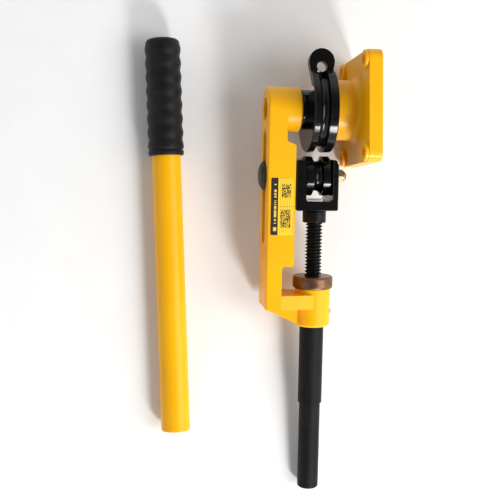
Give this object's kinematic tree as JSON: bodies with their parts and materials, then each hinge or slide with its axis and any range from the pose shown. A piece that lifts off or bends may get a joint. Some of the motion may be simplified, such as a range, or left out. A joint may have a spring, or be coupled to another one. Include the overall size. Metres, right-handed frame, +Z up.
{
  "type": "manual pipe bender",
  "caption": "Hand lever pipe bender with a square base, grooved die with eye, swing arm with screw-set roller, stepped lever and loose handle tube, lying on its side.",
  "frame": {"origin": "centre of the base's mounting face, on the pivot axis of the swing arm", "axes": "+X out of the base's mounting face along the pivot axis, +Y along the tool from the lever's tip towards the die's eye, +Z up from the floor that the tool and its handle tube lie on"},
  "size_m": [0.227, 0.4728, 0.11],
  "materials": {
    "yellow_casting": "glossy yellow powder coat over cast iron",
    "yellow_tube": "glossy yellow powder coat over steel tube",
    "black_gloss": "glossy black coating over machined casting",
    "black_satin": "satin black oxide over steel bar",
    "black_steel": "black oxide over steel",
    "bright_steel": "ground steel",
    "bronze_bush": "machined bearing bronze",
    "bronze_nut": "brown toned bronze, satin",
    "yellow_zinc": "yellow zinc plated steel",
    "label_film": "printed self-adhesive film",
    "grip_rubber": "moulded black rubber, slight sheen"
  },
  "bodies": {
    "base": {"base_casting": "yellow_casting", "centre_pin": "bright_steel", "pin_set_screw": "black_steel", "die_dowels": "bright_steel", "bending_die": "black_gloss"},
    "arm": {"swing_arm": "yellow_casting", "pivot_bush": "bronze_bush", "rating_label": "label_film", "lever_bar": "black_satin", "lever_set_screw": "black_steel"},
    "carriage": {"roller_bracket": "black_gloss", "roller_axle": "black_steel", "axle_washer": "yellow_zinc", "axle_nut": "yellow_zinc", "nut_insert": "yellow_zinc", "adjusting_screw": "black_steel"},
    "roller": {"pressure_roller": "black_gloss", "roller_bush": "bronze_bush"},
    "round_nut": {"adjusting_nut": "bronze_nut"},
    "handle": {"handle_tube": "yellow_tube", "handle_grip": "grip_rubber"}
  },
  "joints": [
    {"name": "arm_swing", "type": "hinge", "parent": "base", "child": "arm", "pos_m": [0, 0, 0], "axis": [1, 0, 0], "range_deg": [-140, 155]},
    {"name": "nut_turn", "type": "hinge", "parent": "arm", "child": "round_nut", "pos_m": [-0.0539, -0.17591, -0.01964], "axis": [0, 0.9938, 0.1109], "range_deg": [-330, 5660]},
    {"name": "roller_adjust", "type": "slide", "parent": "arm", "child": "carriage", "axis": [0, -0.9938, -0.1109], "range_m": [-0.0032, 0.055]},
    {"name": "roller_spin", "type": "hinge", "parent": "carriage", "child": "roller", "pos_m": [-0.0539, -0.06659, -0.00743], "axis": [1, 0, 0], "continuous": true},
    {"name": "handle_slide", "type": "slide", "parent": "base", "child": "handle", "axis": [-0.034, 0.9994, 0.0119], "range_m": [0, 0.09]}
  ],
  "couplings": [
    {"joint": "nut_turn", "follows": "roller_adjust", "rad_per_m": 1795.2}
  ]
}
